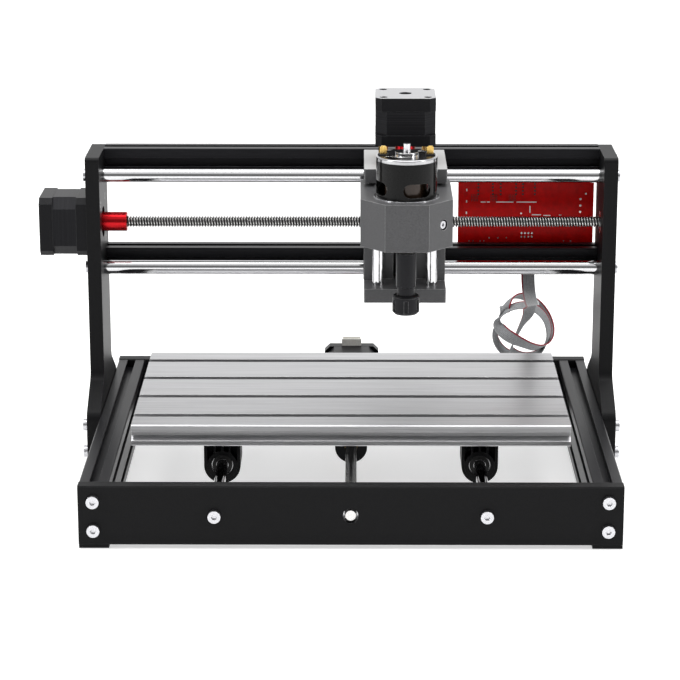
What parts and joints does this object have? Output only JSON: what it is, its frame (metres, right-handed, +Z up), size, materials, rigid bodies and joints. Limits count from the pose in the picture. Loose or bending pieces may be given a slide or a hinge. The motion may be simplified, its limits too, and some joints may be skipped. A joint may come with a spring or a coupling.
{
  "type": "cnc router",
  "caption": "Desktop three-axis router: slotted table on rods, moving carriage with spindle head, three stepper-driven lead screws and a rear control board.",
  "frame": {"origin": "on the bench under the middle of the machine's overall width and depth, the free ribbon cable left out", "axes": "+X to the machine's right across the front, +Y from the front plate to the rear motor, +Z up"},
  "size_m": [0.4174, 0.4585, 0.2713],
  "materials": {
    "moulded_black": "hard moulded resin, fine satin texture",
    "bent_black": "satin black coating",
    "anodised": "black anodised extrusion",
    "table_alloy": "clear anodised extrusion, fine drawn lines",
    "ground_rod": "hard chromed and ground",
    "stainless_screw": "rolled stainless thread",
    "zinc_fastener": "nickel plated",
    "black_fastener": "black oxide",
    "brass": "turned brass",
    "bearing_steel": "ground steel",
    "motor_black": "black anodised casting",
    "lamination": "black coated steel sheets",
    "motor_inside": "ground steel",
    "red_coupler": "red anodised",
    "socket_white": "moulded nylon",
    "clamp_grey": "grey moulded resin, satin",
    "spindle_black": "black enamel",
    "spindle_cap": "nickel plated",
    "steel": "turned steel",
    "collet_nut": "black oxide steel",
    "board_red": "red solder mask",
    "heatsink": "black anodised",
    "fan_black": "moulded",
    "connector": "moulded",
    "button": "moulded",
    "ribbon_grey": "soft flat cable with one red edge"
  },
  "bodies": {
    "base": {"front_plate": "moulded_black", "back_plate": "moulded_black", "left_rail": "anodised", "right_rail": "anodised", "left_upright": "moulded_black", "right_upright": "moulded_black", "upper_beam": "anodised", "lower_beam": "anodised", "x_rods": "ground_rod", "y_rods": "ground_rod", "frame_fasteners": "zinc_fastener", "x_motor_caps": "motor_black", "x_motor_stack": "lamination", "y_motor_caps": "motor_black", "y_motor_stack": "lamination", "motor_sockets": "socket_white", "motor_screws": "black_fastener", "end_bearings": "bearing_steel", "control_board": "board_red", "board_fixings": "zinc_fastener", "heatsink": "heatsink", "fan_frame": "fan_black", "board_connectors": "connector", "ribbon_socket": "connector", "ribbon_drop": "ribbon_grey", "ribbon_coil": "ribbon_grey", "ribbon_tail": "ribbon_grey", "ribbon_plug": "connector"},
    "y_table": {"work_table": "table_alloy", "table_screws": "black_fastener", "bearing_housings": "moulded_black", "y_bearings": "bearing_steel", "y_nut_holder": "moulded_black", "y_nut": "brass"},
    "x_carriage": {"carriage_body": "clamp_grey", "x_bearings": "bearing_steel", "x_nut": "brass", "z_rods": "ground_rod", "z_standoffs": "brass", "z_motor_caps": "motor_black", "z_motor_stack": "lamination", "z_motor_socket": "socket_white"},
    "z_head": {"spindle_clamp": "clamp_grey", "clamp_screw": "black_fastener", "z_bearings": "bearing_steel", "z_nut": "brass", "spindle_can": "spindle_black", "spindle_end_cap": "spindle_cap"},
    "spindle_rotor": {"spindle_shaft": "steel", "collet_holder": "collet_nut", "collet_nut": "collet_nut", "collet": "steel"},
    "x_screw": {"x_drive": "red_coupler", "x_lead_screw": "stainless_screw"},
    "y_screw": {"y_drive": "red_coupler", "y_lead_screw": "stainless_screw"},
    "z_screw": {"z_drive": "red_coupler", "z_lead_screw": "stainless_screw"},
    "fan_wheel": {"fan_rotor": "fan_black"},
    "button": {"power_button": "button"}
  },
  "joints": [
    {"name": "y_slide", "type": "slide", "parent": "base", "child": "y_table", "axis": [0, 1, 0], "range_m": [-0.093, 0.087]},
    {"name": "x_slide", "type": "slide", "parent": "base", "child": "x_carriage", "axis": [1, 0, 0], "range_m": [-0.188, 0.112]},
    {"name": "z_slide", "type": "slide", "parent": "x_carriage", "child": "z_head", "axis": [0, 0, 1], "range_m": [-0.0405, 0.002]},
    {"name": "spindle_spin", "type": "hinge", "parent": "z_head", "child": "spindle_rotor", "pos_m": [0.05325, -0.04525, 0.14], "axis": [0, 0, 1], "continuous": true},
    {"name": "x_screw_spin", "type": "hinge", "parent": "base", "child": "x_screw", "pos_m": [0.01525, 0.04225, 0.173], "axis": [1, 0, 0], "continuous": true},
    {"name": "y_screw_spin", "type": "hinge", "parent": "base", "child": "y_screw", "pos_m": [0.01525, -0.02025, 0.023], "axis": [0, 1, 0], "continuous": true},
    {"name": "z_screw_spin", "type": "hinge", "parent": "x_carriage", "child": "z_screw", "pos_m": [0.05325, 0.01875, 0.173], "axis": [0, 0, 1], "continuous": true},
    {"name": "fan_spin", "type": "hinge", "parent": "base", "child": "fan_wheel", "pos_m": [0.14395, 0.09475, 0.181], "axis": [0, 1, 0], "continuous": true},
    {"name": "button_press", "type": "slide", "parent": "base", "child": "button", "axis": [0, 0, 1], "range_m": [-0.0025, 0], "stiffness_N_per_m": 400, "springref_m": 0.001}
  ],
  "couplings": [
    {"joint": "x_screw_spin", "follows": "x_slide", "rad_per_m": -1570.8},
    {"joint": "y_screw_spin", "follows": "y_slide", "rad_per_m": -1570.8},
    {"joint": "z_screw_spin", "follows": "z_slide", "rad_per_m": -1570.8}
  ]
}
